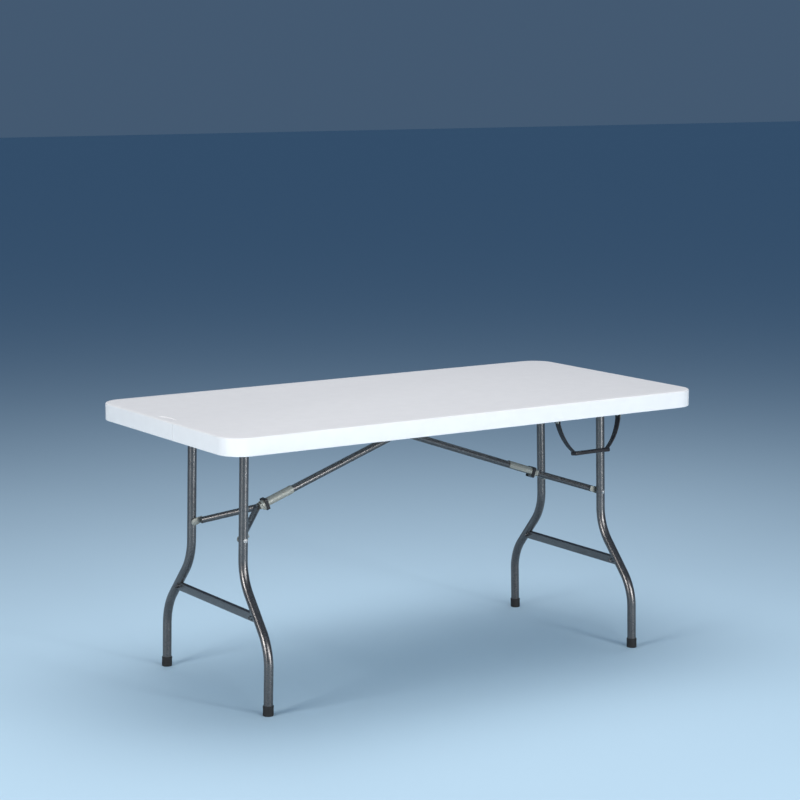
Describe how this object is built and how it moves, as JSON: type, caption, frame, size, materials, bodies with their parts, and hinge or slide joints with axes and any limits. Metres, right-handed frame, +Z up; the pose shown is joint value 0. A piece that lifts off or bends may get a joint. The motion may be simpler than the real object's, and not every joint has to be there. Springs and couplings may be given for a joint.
{
  "type": "folding table",
  "caption": "Folding table with a moulded rectangular top, two bent-tube leg frames on braces with lock rings, and a swinging carry handle.",
  "frame": {"origin": "on the floor, under the middle of the top", "axes": "+X along the top's length, towards the end with the handle; +Y away from the handle's side; +Z up"},
  "size_m": [1.524, 0.7524, 0.754],
  "materials": {
    "white_plastic": "fine pebble texture",
    "pewter_paint": "hammered pewter powder coat",
    "zinc_plate": "dull zinc plate",
    "bright_steel": "bright plated",
    "black_plastic": "moulded",
    "handle_plastic": "moulded, satin",
    "pale_plastic": "moulded, natural"
  },
  "bodies": {
    "table": {"table_top": "white_plastic", "front_side_rail": "pewter_paint", "rear_side_rail": "pewter_paint", "front_leg_clip": "pale_plastic", "rear_leg_clip": "pale_plastic", "handle_left_bracket": "zinc_plate", "handle_right_bracket": "zinc_plate", "handle_left_pin": "bright_steel", "handle_right_pin": "bright_steel", "front_left_rail_screw": "bright_steel", "front_right_rail_screw": "bright_steel", "rear_left_rail_screw": "bright_steel", "rear_right_rail_screw": "bright_steel", "left_front_pivot_bush": "black_plastic", "left_rear_pivot_bush": "black_plastic", "right_front_pivot_bush": "black_plastic", "right_rear_pivot_bush": "black_plastic", "left_brace_bracket": "zinc_plate", "left_brace_pin": "bright_steel", "right_brace_bracket": "zinc_plate", "right_brace_pin": "bright_steel"},
    "left_leg_frame": {"left_pivot_tube": "pewter_paint", "left_cross_bar": "pewter_paint", "left_front_leg": "pewter_paint", "left_front_foot_cap": "black_plastic", "left_front_link_bolt": "bright_steel", "left_rear_leg": "pewter_paint", "left_rear_foot_cap": "black_plastic", "left_rear_link_bolt": "bright_steel"},
    "left_brace": {"left_brace_tube": "pewter_paint", "left_knuckle_channel": "zinc_plate", "left_knuckle_pin": "bright_steel", "left_channel_rivet": "bright_steel"},
    "left_ring": {"left_lock_ring": "black_plastic"},
    "left_v_link": {"left_link_tongue": "zinc_plate", "left_front_link_arm": "pewter_paint", "left_front_end_plate": "zinc_plate", "left_rear_link_arm": "pewter_paint", "left_rear_end_plate": "zinc_plate"},
    "right_leg_frame": {"right_pivot_tube": "pewter_paint", "right_cross_bar": "pewter_paint", "right_front_leg": "pewter_paint", "right_front_foot_cap": "black_plastic", "right_front_link_bolt": "bright_steel", "right_rear_leg": "pewter_paint", "right_rear_foot_cap": "black_plastic", "right_rear_link_bolt": "bright_steel"},
    "right_brace": {"right_brace_tube": "pewter_paint", "right_knuckle_channel": "zinc_plate", "right_knuckle_pin": "bright_steel", "right_channel_rivet": "bright_steel"},
    "right_ring": {"right_lock_ring": "black_plastic"},
    "right_v_link": {"right_link_tongue": "zinc_plate", "right_front_link_arm": "pewter_paint", "right_front_end_plate": "zinc_plate", "right_rear_link_arm": "pewter_paint", "right_rear_end_plate": "zinc_plate"},
    "handle": {"handle_strap": "handle_plastic", "handle_grip": "handle_plastic"}
  },
  "joints": [
    {"name": "left_leg_fold", "type": "hinge", "parent": "table", "child": "left_leg_frame", "pos_m": [-0.591, 0, 0.7075], "axis": [0, -1, 0], "range_deg": [0, 86.5]},
    {"name": "left_brace_swing", "type": "hinge", "parent": "table", "child": "left_brace", "pos_m": [0.19, 0.0135, 0.712], "axis": [0, -1, 0], "range_deg": [-20.11, 1]},
    {"name": "left_link_fold", "type": "hinge", "parent": "left_brace", "child": "left_v_link", "pos_m": [-0.44238, 0.0135, 0.48241], "axis": [0, -1, 0], "range_deg": [-1, 177.91]},
    {"name": "left_ring_slide", "type": "slide", "parent": "left_brace", "child": "left_ring", "axis": [0.9445, 0, 0.3287], "range_m": [-0.0005, 0.0605]},
    {"name": "right_leg_fold", "type": "hinge", "parent": "table", "child": "right_leg_frame", "pos_m": [0.591, 0, 0.7075], "axis": [0, 1, 0], "range_deg": [0, 80]},
    {"name": "right_brace_swing", "type": "hinge", "parent": "table", "child": "right_brace", "pos_m": [-0.19, -0.0135, 0.712], "axis": [0, 1, 0], "range_deg": [-19.57, 1]},
    {"name": "right_link_fold", "type": "hinge", "parent": "right_brace", "child": "right_v_link", "pos_m": [0.44238, -0.0135, 0.48241], "axis": [0, 1, 0], "range_deg": [-1, 168.73]},
    {"name": "right_ring_slide", "type": "slide", "parent": "right_brace", "child": "right_ring", "axis": [-0.9445, 0, 0.3287], "range_m": [-0.0005, 0.0605]},
    {"name": "handle_swing", "type": "hinge", "parent": "table", "child": "handle", "pos_m": [0.3925, -0.33825, 0.7], "axis": [-1, 0, 0], "range_deg": [-38, 52]}
  ],
  "couplings": [
    {"joint": "left_brace_swing", "follows": "left_leg_fold", "ratio": -0.22092},
    {"joint": "left_link_fold", "follows": "left_leg_fold", "ratio": 2.0452},
    {"joint": "left_ring_slide", "follows": "left_leg_fold", "m_per_rad": 0.03974},
    {"joint": "right_brace_swing", "follows": "right_leg_fold", "ratio": -0.23212},
    {"joint": "right_link_fold", "follows": "right_leg_fold", "ratio": 2.0966},
    {"joint": "right_ring_slide", "follows": "right_leg_fold", "m_per_rad": 0.04297}
  ]
}
